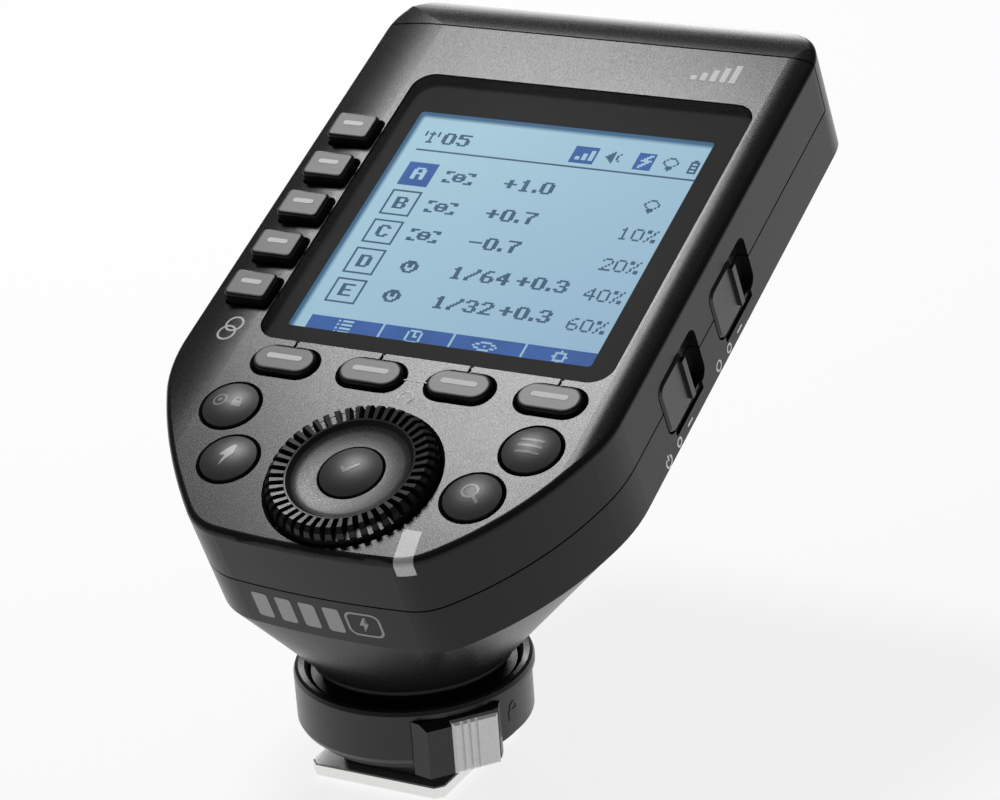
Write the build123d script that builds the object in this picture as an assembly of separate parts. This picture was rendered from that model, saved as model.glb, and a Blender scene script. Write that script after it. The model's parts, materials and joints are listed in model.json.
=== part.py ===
from build123d import *
import os
from math import cos, radians, sin

# Wireless flash trigger: an on-camera radio commander on a locking hot-shoe foot.
# Row frame: origin at the underside of the foot on the collar's axis, +Z up out of the
# camera's shoe, +Y towards the subject, +X to the photographer's right.
# Most parts are drawn in the panel frame: x right, y up the screen, z out of the front
# face, with y = 0 at the dial's centre. PANEL carries them into the row frame.

# ---------------- driving dimensions, millimetres and degrees ----------------
PANEL_TILT = 23.0
FOOT_IN_PANEL_Y = -3.63
FOOT_IN_PANEL_Z = -45.89

HALF_WIDTH = 30.9
TOP_Y = 85.5
CHIN_Y = -11.9
CHIN_RIGHT = (15.5, -11.3)
CHIN_LEFT = (-13.6, -11.0)
FLANK_TOP_RIGHT_Y = 12.5
FLANK_TOP_LEFT_Y = 14.0
FLANK_RIGHT_R = 42.0
FLANK_LEFT_R = 85.0
FLANK_CORNER_R = 20.0
CHIN_CORNER_R = 8.0
TOP_CORNER_R = 8.0
WALL = 1.8

PARTING_Z = -8.45
SEAM_Y = 78.4
SEAM_GAP = 0.12
TOP_DROP = 2.2
TOP_DRAFT_Z = -4.0
TOP_DRAFT = 1.1
SIDE_DEPTH = 15.7
BACK_DEPTH = 25.0
SHOULDER_LEFT_X = -22.1
SHOULDER_LEFT_DROP = 0.95
SHOULDER_RIGHT_X = 27.6
SHOULDER_RIGHT_DROP = 0.7
EDGE_R = 0.9

DIAL_X = 2.75
LENS_SIZE = (48.4, 49.2)
LENS_CENTRE = (DIAL_X + 0.25, 44.3)
LENS_R = 2.9
LENS_T = 1.2
LENS_SINK = 0.08
LCD_SIZE = (41.8, 39.8)
LCD_CENTRE = (DIAL_X - 0.3, 43.1)

GROUP_X = -24.9
GROUP_Y = 41.7
GROUP_PITCH = 7.41
GROUP_CAP = (6.0, 4.5)
GROUP_RISE = 1.35
FUNCTION_X = 3.45
FUNCTION_Y = 16.0
FUNCTION_PITCH = 12.07
FUNCTION_CAP = (8.5, 4.3)
FUNCTION_RISE = 0.75
ROUND_KEYS = {
    "mode_button": (-18.2, 7.9),
    "test_button": (-14.2, -0.3),
    "menu_button": (22.6, 8.1),
    "zoom_button": (18.7, -0.2),
}
ROUND_R = 3.55
ROUND_RISE = 0.9
KEY_GAP = 0.28
KEY_FLANGE = 0.7
KEY_FOOT_Z = -3.4
MAT_TOP_Z = -4.2
MAT_T = 0.6

DIAL_R = 10.5
DIAL_INNER_R = 7.3
DIAL_RISE = 1.9
DIAL_RIBS = 46
SET_R = 3.85

BOARD_TOP_Z = -6.2
BOARD_T = 1.0

CELL_R = 7.1
CELL_LENGTH = 50.5
CELL_X = 7.6
CELL_Z = -16.05
BAY_HALF = 15.4
BAY_LOW_Y = 20.5
BAY_HIGH_Y = 75.0
BAY_TOP_Z = -8.4
BAY_WALL = 1.2
DOOR_T = 1.6
DOOR_HALF_OUT = 16.6
DOOR_HALF_IN = 17.8
DOOR_GAP = 0.15

SWITCH_Y = {"power": 23.75, "af": 39.9}
SWITCH_RECESS = (11.45, 8.3)
SWITCH_TOP_Z = -4.5
SWITCH_DEPTH = 1.5
SWITCH_KNOB = (7.2, 7.7)

SCREW_XY = [(27.4, 21.3), (-27.4, 21.3), (27.0, 73.6), (-27.0, 73.6)]
SCREW_HEAD_Z = -13.4

USB_Y = 34.0
JACK_Y = 50.0
JACK_Z = -10.4
JACK_BORE_R = 1.25
JACK_FACE_X = -30.3
JACK_DEPTH = 11.0

FOOT_WIDTH = 18.6
FOOT_FRONT_Y = -11.6
FOOT_LENGTH = 20.0
FOOT_T = 1.8
STEM_WIDTH = 12.2
STEM_TOP_Z = 4.25
COLLAR_R = 14.95
COLLAR_LOW_Z = 5.4
COLLAR_HIGH_Z = 12.8
COLLAR_WELL_R = 13.15
DECK_Z = 11.0
DECK_R = 12.8
NECK_LOW_Z = 11.9
NECK_FOOT_R = 11.6
NECK_BAND_R = 12.6
NECK_BORE_R = 9.5
NECK_BORE_TOP_Z = 29.9
NECK_BAND_Z = (13.5, 14.2)
TRACK_R = 14.5
TRACK_TOP_Z = 11.5
TRACK_MARGIN = 23.0
TRACK_END_AZ = 136.0
LEVER_AZ = 50.0
LEVER_FACE = 16.0
LEVER_WIDTH = 9.1
LEVER_BASE_HALF = 5.75
LEVER_BASE_Y = -13.9
LEVER_LOW_Z = 4.3
LEVER_RING_Z = (4.4, 5.28)
LEVER_RING_R = 13.4
LEVER_BEVEL = (1.1, 0.75)
PAD_WIDTH = 5.9
PAD_RISE = 0.35
PAD_SEAT = 15.2
PAD_TOP_Z = 11.1
PIN_Y = 6.2
PIN_R = 1.0
PIN_GAP = 0.06
TTL_CONTACTS = [(-3.6, 1.6), (3.6, 1.6), (-2.9, -3.6), (2.9, -3.6)]
CONTACT_REST_Z = -0.6
CONTACT_ROOM_HALF = 5.1
CONTACT_ROOM_TOP_Z = 5.0
FOOT_SCREW_XY = [(-4.2, -6.6), (4.2, -6.6), (-4.2, 6.6), (4.2, 6.6)]
HUB_R = 9.2
NECK_WINDOW_Z = 20.3

PANEL = Rot(PANEL_TILT, 0, 0) * Pos(0, -FOOT_IN_PANEL_Y, -FOOT_IN_PANEL_Z)
TO_PANEL = PANEL.inverse()
BIG = 200.0


# ---------------- shared shapes ----------------
def block(x0, x1, y0, y1, z0, z1):
    """A box between two corners."""
    size = (x1 - x0, y1 - y0, z1 - z0)
    return Pos((x0 + x1) / 2, (y0 + y1) / 2, (z0 + z1) / 2) * Box(*size)


def tube(outer, inner, z0, z1):
    """A ring about the z axis."""
    ring = Circle(outer) - Circle(inner)
    return Pos(0, 0, z0) * extrude(ring, z1 - z0)


def prism(sketch, z0, z1):
    """A sketch in the xy plane, extruded between two heights."""
    return extrude(Pos(0, 0, z0) * sketch, z1 - z0)


def rounded(size, radius):
    return RectangleRounded(size[0], size[1], radius)


def stadium(size):
    return SlotOverall(size[0], size[1])


def across(points, y0, y1):
    """A profile of (x, z) points, carried along y."""
    face = Plane.XZ * make_face(Polyline(*points, close=True))
    return Pos(0, y1, 0) * extrude(face, y1 - y0)


def along(points, x0, x1):
    """A profile of (y, z) points, carried along x."""
    face = Plane.YZ * make_face(Polyline(*points, close=True))
    return Pos(x0, 0, 0) * extrude(face, x1 - x0)


# ---------------- the case ----------------
def plan_face(inset=0.0):
    """The case's outline seen from the front; the left flank slants a little more."""
    right_top = (HALF_WIDTH, FLANK_TOP_RIGHT_Y)
    left_top = (-HALF_WIDTH, FLANK_TOP_LEFT_Y)
    edges = [
        RadiusArc(CHIN_RIGHT, right_top, -FLANK_RIGHT_R),
        Line(right_top, (HALF_WIDTH, TOP_Y)),
        Line((HALF_WIDTH, TOP_Y), (-HALF_WIDTH, TOP_Y)),
        Line((-HALF_WIDTH, TOP_Y), left_top),
        RadiusArc(left_top, CHIN_LEFT, -FLANK_LEFT_R),
        ThreePointArc(CHIN_LEFT, (0, CHIN_Y), CHIN_RIGHT),
    ]
    face = make_face(edges)
    for low, high, radius in (
        (TOP_Y - 1, TOP_Y + 1, TOP_CORNER_R),
        (FLANK_TOP_RIGHT_Y - 1, FLANK_TOP_LEFT_Y + 1, FLANK_CORNER_R),
        (CHIN_Y - 1, CHIN_Y + 1, CHIN_CORNER_R),
    ):
        face = fillet([v for v in face.vertices() if low < v.Y < high], radius)
    if inset:
        face = offset(face, -inset, kind=Kind.ARC)
    return face


def crown():
    """Everything under the front face: a flat middle with shoulders that fall away."""
    left = (-HALF_WIDTH, -SHOULDER_LEFT_DROP)
    right = (HALF_WIDTH, -SHOULDER_RIGHT_DROP)
    across_edges = [
        TangentArc((SHOULDER_LEFT_X, 0), left, tangent=(-1, 0)),
        Line(left, (-HALF_WIDTH, -BIG)),
        Line((-HALF_WIDTH, -BIG), (HALF_WIDTH, -BIG)),
        Line((HALF_WIDTH, -BIG), right),
        TangentArc((SHOULDER_RIGHT_X, 0), right, tangent=(1, 0)),
        Line((SHOULDER_RIGHT_X, 0), (SHOULDER_LEFT_X, 0)),
    ]
    end = (TOP_Y, -TOP_DROP)
    along_edges = [
        Line((-BIG, 0), (SEAM_Y, 0)),
        TangentArc((SEAM_Y, 0), end, tangent=(1, 0)),
        Line(end, (TOP_Y, -BIG)),
        Line((TOP_Y, -BIG), (-BIG, -BIG)),
        Line((-BIG, -BIG), (-BIG, 0)),
    ]
    width_roof = Pos(0, BIG, 0) * extrude(Plane.XZ * make_face(across_edges), 2 * BIG)
    length_roof = Pos(-BIG, 0, 0) * extrude(Plane.YZ * make_face(along_edges), 2 * BIG)
    return width_roof & length_roof


def top_draft(inset=0.0):
    """What the top end's wall loses, because it leans in towards the back."""
    top = TOP_Y - inset
    deep = TOP_DRAFT_Z - BACK_DEPTH
    lean = TOP_DRAFT * BACK_DEPTH / (SIDE_DEPTH + TOP_DRAFT_Z)
    profile = [(top, TOP_DRAFT_Z), (top + 9, TOP_DRAFT_Z), (top + 9, deep), (top - lean, deep)]
    return along(profile, -BIG, BIG)


def upper_case(inset=0.0):
    """The straight-walled part of the case, from the front face to the side walls' end."""
    body = prism(plan_face(inset), -SIDE_DEPTH, 0) & (Pos(0, 0, -inset) * crown())
    return body - top_draft(inset)


def back_slab(inset=0.0):
    """The deeper part behind the screen, with slanting sides, that holds the cells."""
    side = HALF_WIDTH - inset
    deep = -BACK_DEPTH + inset
    narrow = side - (BACK_DEPTH - SIDE_DEPTH)
    top = TOP_Y - inset
    width_profile = [(-side, -SIDE_DEPTH), (side, -SIDE_DEPTH), (narrow, deep), (-narrow, deep)]
    slab = across(width_profile, FLANK_TOP_LEFT_Y + 2, top)
    fall = BACK_DEPTH - SIDE_DEPTH
    length_profile = [
        (-BIG, 0), (top, 0), (top, -SIDE_DEPTH), (top - fall, deep), (-BIG, deep),
    ]
    slab = slab & along(length_profile, -BIG, BIG)
    return (slab & prism(plan_face(inset), -BACK_DEPTH, 0)) - top_draft(inset)


def neck():
    """The funnel from the chin down to a narrow band, and the undercut below the band."""
    wide = HALF_WIDTH + 3
    reach = make_face(Polyline(
        (-wide, -35), (wide, -35), (wide, 0), (14, 21), (-14, 21), (-wide, 0), close=True,
    ))
    band_low, band_high = NECK_BAND_Z
    upper = Pos(0, 0, -SIDE_DEPTH) * (plan_face() & reach)
    lower = TO_PANEL * Pos(0, 0, band_high) * Circle(NECK_BAND_R)
    funnel = loft([upper.face(), lower.face()], ruled=True)
    band = chamfer(prism(Circle(NECK_BAND_R), band_low, band_high + 0.3).edges().sort_by(Axis.Z)[0], 0.3)
    foot = prism(Circle(NECK_FOOT_R), NECK_LOW_Z, band_low + 0.2)
    return funnel + TO_PANEL * (band + foot)


def outer_case():
    return upper_case() + back_slab() + neck()


def front_zone():
    """The space that belongs to the front shell."""
    return block(-BIG, BIG, -BIG, SEAM_Y - SEAM_GAP, PARTING_Z + SEAM_GAP, BIG)


def rear_zone():
    """The space that belongs to the rear shell: below the parting plane and the top end."""
    below = block(-BIG, BIG, -BIG, BIG, -BIG, PARTING_Z - SEAM_GAP)
    return below + block(-BIG, BIG, SEAM_Y + SEAM_GAP, BIG, -BIG, BIG)


def group_spots():
    return [(GROUP_X, GROUP_Y + GROUP_PITCH * step) for step in (2, 1, 0, -1, -2)]


def function_spots():
    return [(FUNCTION_X + FUNCTION_PITCH * step, FUNCTION_Y) for step in (-1.5, -0.5, 0.5, 1.5)]


def key_holes():
    """Holes through the front face for every key, with a small lead-in at the surface."""
    tools = []
    grow = 2 * KEY_GAP
    group_hole = rounded((GROUP_CAP[0] + grow, GROUP_CAP[1] + grow), 0.9)
    function_hole = stadium((FUNCTION_CAP[0] + grow, FUNCTION_CAP[1] + grow))
    round_hole = Circle(ROUND_R + KEY_GAP)
    for sketch, spots in (
        (group_hole, group_spots()),
        (function_hole, function_spots()),
        (round_hole, ROUND_KEYS.values()),
    ):
        for x, y in spots:
            tools.append(Pos(x, y) * prism(sketch, -3.0, 2.0))
            lead_in = extrude(Pos(0, 0, -0.3) * sketch, 0.6, taper=-40)
            tools.append(Pos(x, y) * lead_in)
    return tools


def tick_grooves():
    """Short grooves that tie each key to its place on the screen."""
    tools = []
    lens_left = LENS_CENTRE[0] - LENS_SIZE[0] / 2
    lens_low = LENS_CENTRE[1] - LENS_SIZE[1] / 2
    for x, y in group_spots():
        tools.append(block(x + GROUP_CAP[0] / 2, lens_left + 0.2, y - 0.25, y + 0.25, -0.3, 1))
    for x, y in function_spots():
        tools.append(block(x - 0.25, x + 0.25, y + FUNCTION_CAP[1] / 2, lens_low + 0.2, -0.3, 1))
    return tools


def switch_cut(y0):
    """The recess for one slide switch in the right wall, and the slot behind it."""
    length, height = SWITCH_RECESS
    middle_z = SWITCH_TOP_Z - height / 2
    face = Plane.YZ * (Pos(y0 + length / 2, middle_z) * rounded((length, height), 1.6))
    recess = Pos(HALF_WIDTH - SWITCH_DEPTH, 0, 0) * extrude(face, 5)
    slot = block(25, HALF_WIDTH, y0 + 2.0, y0 + 9.2, -10.2, -7.2)
    ramp_low = middle_z - height / 2
    ramp = along(
        [(y0 + 1.5, ramp_low + 1), (y0 + length - 1.5, ramp_low + 1),
         (y0 + length - 1.5, ramp_low - 1.0), (y0 + 1.5, ramp_low - 1.0)],
        HALF_WIDTH - 0.35, HALF_WIDTH + 1,
    )
    return recess + slot + ramp


def switch_backing():
    """Extra wall behind the switch recesses."""
    low = min(SWITCH_Y.values()) - 2
    high = max(SWITCH_Y.values()) + SWITCH_RECESS[0] + 2
    return block(27.9, HALF_WIDTH - 0.5, low, high, SIDE_DEPTH * -0.9, -3.0)


def lamp_zone():
    """The slanting strip over the front edge where the status lamp sits."""
    strip = Polyline((12.6, -6.3), (15.0, -6.3), (16.4, -14.0), (14.0, -14.0), close=True)
    return prism(make_face(strip), -2.3, 1.0)


def on_rim(edge):
    """True for the edges around the front face, and false for those across it."""
    middle = edge.position_at(0.5)
    if edge.bounding_box().min.Z < -TOP_DROP - 0.5:
        return False
    if middle.Y < FLANK_TOP_LEFT_Y + 4 and abs(middle.X) > 11:
        return True
    inside_x = abs(middle.X) < HALF_WIDTH - 0.4
    return not (inside_x and CHIN_Y + 0.75 < middle.Y < TOP_Y - 0.4)


def rounded_case():
    """The straight-walled part of the case with its front edges rounded."""
    body = upper_case()
    return fillet([edge for edge in body.edges() if on_rim(edge)], EDGE_R)


def front_shell():
    """The front cover with the window seat, the key holes and the dial's well."""
    shell = rounded_case() & front_zone()
    shell -= prism(plan_face(WALL), PARTING_Z - 1, -WALL)
    shell += switch_backing() & (upper_case() & front_zone())
    lens_seat = rounded((LENS_SIZE[0] + 0.12, LENS_SIZE[1] + 0.12), LENS_R + 0.06)
    seat_z = -LENS_SINK - LENS_T
    shell -= Pos(*LENS_CENTRE) * prism(lens_seat, seat_z, 1)
    opening = rounded((LCD_SIZE[0] + 2.4, LCD_SIZE[1] + 2.4), 1.0)
    shell -= Pos(*LCD_CENTRE) * prism(opening, -3, 1)
    shell -= Pos(DIAL_X, 0) * prism(Circle(DIAL_R + 0.35), -3, 1)
    shell -= Pos(DIAL_X, 0) * extrude(Pos(0, 0, -0.35) * Circle(DIAL_R + 0.35), 0.7, taper=-40)
    for tool in key_holes() + tick_grooves():
        shell -= tool
    for y0 in SWITCH_Y.values():
        shell -= switch_cut(y0)
    shell -= port_cuts()
    shell -= lamp_zone() - (Pos(0, 0, -1.2) * upper_case(1.2))
    for x, y in SCREW_XY:
        post = Pos(x, y) * prism(Circle(1.7), PARTING_Z + 0.3, -WALL + 0.2)
        shell += post & upper_case(0.5)
        shell -= Pos(x, y) * prism(Circle(0.78), -9, -3.4)
    return shell


def port_cuts():
    """Openings in the left wall for the USB port and the sync jack."""
    usb = block(-HALF_WIDTH - 1, -HALF_WIDTH + 3, USB_Y - 4.8, USB_Y + 4.8, -10.6, -7.0)
    jack = Pos(-HALF_WIDTH - 1, JACK_Y, JACK_Z) * Rot(0, 90, 0) * extrude(Circle(3.15), 4)
    return usb + jack


def bay_box():
    """The space for the cells and their contacts."""
    return block(-BAY_HALF, BAY_HALF, BAY_LOW_Y, BAY_HIGH_Y, -BACK_DEPTH - 1, BAY_TOP_Z)


def door_profile(gap):
    """The door's dovetail section, wider inside than outside."""
    deep = -BACK_DEPTH
    top = deep + DOOR_T + gap
    return [
        (-DOOR_HALF_OUT - gap, deep - 0.5), (DOOR_HALF_OUT + gap, deep - 0.5),
        (DOOR_HALF_IN + gap, top), (-DOOR_HALF_IN - gap, top),
    ]


def rear_shell():
    """The rear cover: side walls, battery bay, top end and the neck over the collar."""
    full = outer_case() & rear_zone()
    cap = rounded_case() & block(-BIG, BIG, SEAM_Y + SEAM_GAP, BIG, -6, BIG)
    shell = (full - block(-BIG, BIG, SEAM_Y, BIG, -6, BIG)) + cap
    floor_z = -SIDE_DEPTH + 1.2
    pocket = prism(plan_face(WALL), floor_z, -WALL - 0.6)
    bay_walls = block(
        -BAY_HALF - BAY_WALL, BAY_HALF + BAY_WALL, BAY_LOW_Y - BAY_WALL,
        BAY_HIGH_Y + BAY_WALL, -BACK_DEPTH, BAY_TOP_Z + 0.9,
    )
    backing = switch_backing()
    for x, y in SCREW_XY:
        backing += Pos(x, y) * prism(Circle(3.4), -BACK_DEPTH, PARTING_Z - 0.3)
    shell -= pocket - bay_walls - (backing & block(-BIG, BIG, -BIG, BIG, -BIG, PARTING_Z))
    lip = prism(plan_face(WALL + 0.15), PARTING_Z - 1.0, PARTING_Z + 1.2)
    lip -= prism(plan_face(WALL + 1.0), PARTING_Z - 2, PARTING_Z + 2)
    lip &= block(-BIG, BIG, -BIG, SEAM_Y - 3, -BIG, BIG)
    lip -= block(25, BIG, 21.5, 53.5, -BIG, BIG)
    lip -= block(-BIG, -25, USB_Y - 6, JACK_Y + 5, -BIG, BIG)
    for x, y in SCREW_XY:
        lip -= Pos(x, y) * prism(Circle(2.3), -20, 0)
    shell += lip
    low_x = BAY_HALF + BAY_WALL
    for side in (-1, 1):
        gutter = across(
            [(side * low_x, floor_z), (side * 28.6, floor_z),
             (side * 20.8, -BACK_DEPTH + 2.6), (side * low_x, -BACK_DEPTH + 2.6)],
            FLANK_TOP_LEFT_Y + 14, SEAM_Y - 12,
        )
        shell -= gutter
    shell -= TO_PANEL * prism(Circle(NECK_BORE_R), NECK_LOW_Z - 1, NECK_BORE_TOP_Z)
    shell -= bay_box()
    shell -= across(door_profile(DOOR_GAP), BAY_LOW_Y - 1, BIG)
    for y0 in SWITCH_Y.values():
        shell -= switch_cut(y0)
    shell -= port_cuts()
    for x, y in SCREW_XY:
        shell -= Pos(x, y) * prism(Circle(1.15), -BACK_DEPTH, 0)
        shell -= Pos(x, y) * prism(Circle(2.2), -BACK_DEPTH - 1, SCREW_HEAD_Z)
    shell -= TO_PANEL * neck_window_solid(0.06)
    return shell


def neck_window_solid(gap):
    """The red window that faces the subject, in the neck."""
    face = Plane.XZ * rounded((12 + 2 * gap, 6.4 + 2 * gap), 1.4)
    return Pos(0, 20, NECK_WINDOW_Z) * extrude(face, 10.3)


# ---------------- screen ----------------
def screen_window():
    plate = prism(rounded(LENS_SIZE, LENS_R), -LENS_SINK - LENS_T + 0.02, -LENS_SINK)
    plate = chamfer(plate.faces().sort_by(Axis.Z)[-1].edges(), 0.15)
    return Pos(*LENS_CENTRE) * plate


def lcd_panel():
    return Pos(*LCD_CENTRE) * prism(rounded((LCD_SIZE[0] + 2, LCD_SIZE[1] + 2), 0.6), -2.9, -1.7)


def backlight_unit():
    return Pos(*LCD_CENTRE) * prism(rounded((LCD_SIZE[0] + 2.4, LCD_SIZE[1] + 3), 0.6), -5.2, -3.0)


def lcd_bezel():
    """The pressed frame that holds the display to the board."""
    outer = rounded((LCD_SIZE[0] + 4.4, LCD_SIZE[1] + 5), 1.0)
    inner = rounded((LCD_SIZE[0] + 2.7, LCD_SIZE[1] + 3.3), 0.7)
    return Pos(*LCD_CENTRE) * prism(outer - inner, -6.1, -2.95)


# ---------------- keys ----------------
def key(sketch, flange, rise, soften, foot):
    """One key: cap, retaining flange under the front face, and the foot over the mat."""
    cap = prism(sketch, -WALL - 0.4, rise)
    cap = fillet(cap.faces().sort_by(Axis.Z)[-1].edges(), soften)
    base = prism(flange, -WALL - 0.85, -WALL - 0.15)
    return cap + base + prism(foot, KEY_FOOT_Z, -WALL - 0.5)


def group_button():
    flange = Rectangle(GROUP_CAP[0] - 0.2, GROUP_CAP[1] + 1.5)
    return key(rounded(GROUP_CAP, 0.75), flange, GROUP_RISE, 0.45, Circle(1.6))


def function_button():
    flange = stadium((FUNCTION_CAP[0] + 1.4, FUNCTION_CAP[1] + 1.4))
    return key(stadium(FUNCTION_CAP), flange, FUNCTION_RISE, 0.5, Circle(1.6))


def round_button():
    """A round key with a gently domed top."""
    body = key(Circle(ROUND_R), Circle(ROUND_R + KEY_FLANGE), ROUND_RISE + 0.6, 0.9, Circle(1.6))
    dome_r = 9.0
    return body & (Pos(0, 0, ROUND_RISE - dome_r) * Sphere(dome_r) + block(-9, 9, -9, 9, -9, -0.2))


def keypad_mat(outline, spots):
    """A silicone mat with a bump under each key."""
    mat = prism(outline, MAT_TOP_Z - MAT_T, MAT_TOP_Z - 0.15)
    for x, y in spots:
        mat += Pos(x, y) * prism(Circle(2.0), MAT_TOP_Z - 1.1, MAT_TOP_Z)
    return mat


def group_keypad():
    outline = Pos(GROUP_X + 0.4, GROUP_Y + 0.2) * Rectangle(6.2, 36.6)
    return keypad_mat(outline, group_spots())


def main_keypad():
    outline = plan_face(WALL + 1.6) & (Pos(0, -10) * Rectangle(2 * BIG, 59.5))
    outline -= Pos(DIAL_X, 0) * Circle(9.6)
    outline -= Pos(0, 25) * Rectangle(2 * HALF_WIDTH, 12.6)
    for x, y in SCREW_XY:
        outline -= Pos(x, y) * Circle(2.6)
    spots = function_spots() + list(ROUND_KEYS.values())
    return keypad_mat(outline, spots)


# ---------------- dial ----------------
def dial_ring():
    """The ribbed ring, its hub and the ribs around its crown."""
    outer = DIAL_R
    profile = Polyline(
        (DIAL_INNER_R, -0.6), (DIAL_INNER_R, DIAL_RISE - 0.8), (DIAL_INNER_R + 0.5, DIAL_RISE - 0.35),
        (outer - 0.9, DIAL_RISE), (outer - 0.2, DIAL_RISE - 0.5), (outer, DIAL_RISE - 1.2),
        (outer, -1.4), (6.4, -1.4), (6.4, -3.6), (4.7, -3.6), (4.7, -0.6), close=True,
    )
    ring = revolve(Plane.XZ * make_face(profile), Axis.Z)
    groove = across([(-0.28, 0.45), (0.28, 0.45), (0.42, 3), (-0.42, 3)], -outer - 1, -8.0)
    for step in range(DIAL_RIBS):
        ring -= Rot(0, 0, 360 * step / DIAL_RIBS) * groove
    return Pos(DIAL_X, 0) * ring


def dial_face():
    """The grained disc between the ribs and the centre key."""
    return Pos(DIAL_X, 0) * tube(DIAL_INNER_R - 0.03, SET_R + 0.22, -0.57, 0.75)


def set_button():
    cap = prism(Circle(SET_R), -1.4, 2.3)
    cap &= Pos(0, 0, 1.75 - 9) * Sphere(9) + block(-9, 9, -9, 9, -9, -0.2)
    stem = prism(Circle(1.8), -5.2, -1.2)
    return Pos(DIAL_X, 0) * (cap + prism(Circle(4.5), -1.9, -1.2) + stem)


def rotary_encoder():
    """The hollow encoder on the board under the dial."""
    return Pos(DIAL_X, 0) * tube(8.2, 4.8, BOARD_TOP_Z, -3.8)


# ---------------- boards and small electronics ----------------
def main_board():
    board = prism(plan_face(WALL + 1.3), BOARD_TOP_Z - BOARD_T, BOARD_TOP_Z)
    board &= block(-BIG, BIG, -BIG, 76.5, -BIG, BIG)
    board -= block(27.3, BIG, 21.5, 53.5, -BIG, BIG)
    for x, y in SCREW_XY:
        board -= Pos(x, y) * prism(Circle(2.4), -9, 0)
    return board


def radio_module():
    carrier = block(-15, 8, 67.5, 75.5, BOARD_TOP_Z, BOARD_TOP_Z + 0.8)
    can = block(-14, -2, 68.5, 74.5, BOARD_TOP_Z + 0.8, BOARD_TOP_Z + 2.4)
    return carrier + can


def antenna():
    """A bent strip that stands on the radio's board."""
    strip = block(-1, 7, 71.0, 71.5, BOARD_TOP_Z + 0.8, BOARD_TOP_Z + 3.4)
    return strip + block(6.5, 7, 71.0, 75.0, BOARD_TOP_Z + 0.8, BOARD_TOP_Z + 3.4)


def beeper():
    return Pos(-22.2, 62) * prism(Circle(4.0), -9.9, BOARD_TOP_Z - BOARD_T)


def status_lamp():
    """The light guide that wraps over the chin's front edge."""
    lamp = rounded_case() & lamp_zone()
    lamp -= Pos(0, 0, -1.2) * upper_case(1.2)
    return lamp


def slide_switch(y0):
    middle = y0 + 5.6
    return block(21.4, 26.6, middle - 4.3, middle + 4.3, -10.6, BOARD_TOP_Z - BOARD_T)


def switch_knob(y0):
    """A flat knob with a ridge for the thumb and a stem through the wall."""
    length, height = SWITCH_KNOB
    top = SWITCH_TOP_Z - 0.3
    x0 = HALF_WIDTH - SWITCH_DEPTH + 0.08
    start = y0 + 0.3
    face = Plane.YZ * (Pos(start + length / 2, top - height / 2) * rounded((length, height), 1.3))
    plate = Pos(x0, 0, 0) * extrude(face, SWITCH_DEPTH + 0.15)
    plate = chamfer(plate.faces().sort_by(Axis.X)[-1].edges(), 0.3)
    ridge = along(
        [(start + length - 1.4, top - 0.7), (start + length - 0.5, top - 0.7),
         (start + length - 0.5, top - height + 0.7), (start + length - 1.4, top - height + 0.7)],
        x0 + 1, HALF_WIDTH + 0.65,
    )
    stem = block(26.8, x0 + 0.5, y0 + 2.4, y0 + 5.2, -9.8, -7.6)
    return plate + ridge + stem


def usb_port():
    """A USB-C receptacle on the board's edge."""
    outer = RectangleRounded(8.9, 3.2, 1.5)
    inner = RectangleRounded(8.3, 2.6, 1.25)
    tongue = Rectangle(6.6, 0.7)
    stance = Plane(origin=(-HALF_WIDTH + 0.7, USB_Y, -8.9), x_dir=(0, 1, 0), z_dir=(1, 0, 0))
    body = extrude(stance * outer, 7.2) - extrude(stance * inner, 5.9)
    return body + extrude(stance.offset(1.0) * tongue, 5.5)


def sync_jack():
    """A 2.5 mm jack socket, with its bore opening to the left."""
    start = Pos(JACK_FACE_X, JACK_Y, JACK_Z) * Rot(0, 90, 0)
    body = start * extrude(Circle(3.0), 2.4)
    body += block(JACK_FACE_X + 2.2, -17.4, JACK_Y - 3.1, JACK_Y + 3.1, JACK_Z - 2.9, JACK_Z + 2.9)
    return body - start * extrude(Circle(JACK_BORE_R), JACK_DEPTH)


# ---------------- battery bay ----------------
def battery_door():
    """The sliding door, flush with the back and with the slope at the top end."""
    door = across(door_profile(0), BAY_LOW_Y - 0.85, TOP_Y) & outer_case()
    for step in range(5):
        y = 30 + 2.0 * step
        door -= block(-7, 7, y, y + 0.9, -BACK_DEPTH - 1, -BACK_DEPTH + 0.5)
    return door


def battery_cell(side):
    """One round cell; the pair lies head to tail."""
    can_length = CELL_LENGTH - 1.3
    profile = Polyline(
        (0, 0), (CELL_R - 0.5, 0), (CELL_R, 0.5), (CELL_R, can_length - 0.6),
        (CELL_R - 0.6, can_length), (2.75, can_length), (2.75, CELL_LENGTH), (0, CELL_LENGTH),
        close=True,
    )
    cell = revolve(Plane.XZ * make_face(profile), Axis.Z)
    if side < 0:
        return Pos(-CELL_X, BAY_LOW_Y + 3.2, CELL_Z) * Rot(-90, 0, 0) * cell
    return Pos(CELL_X, BAY_HIGH_Y - 3.2, CELL_Z) * Rot(90, 0, 0) * cell


def battery_springs():
    """A short conical coil behind the flat end of each cell."""
    coil_height = 2.0
    path = Helix(pitch=0.95, height=coil_height, radius=3.6, cone_angle=-20)
    wire = sweep(Plane(origin=path @ 0, z_dir=path % 0) * Circle(0.22), path)
    left = Pos(-CELL_X, BAY_LOW_Y + 0.75, CELL_Z) * Rot(-90, 0, 0) * wire
    right = Pos(CELL_X, BAY_HIGH_Y - 0.75, CELL_Z) * Rot(90, 0, 0) * wire
    return [left, right]


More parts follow.
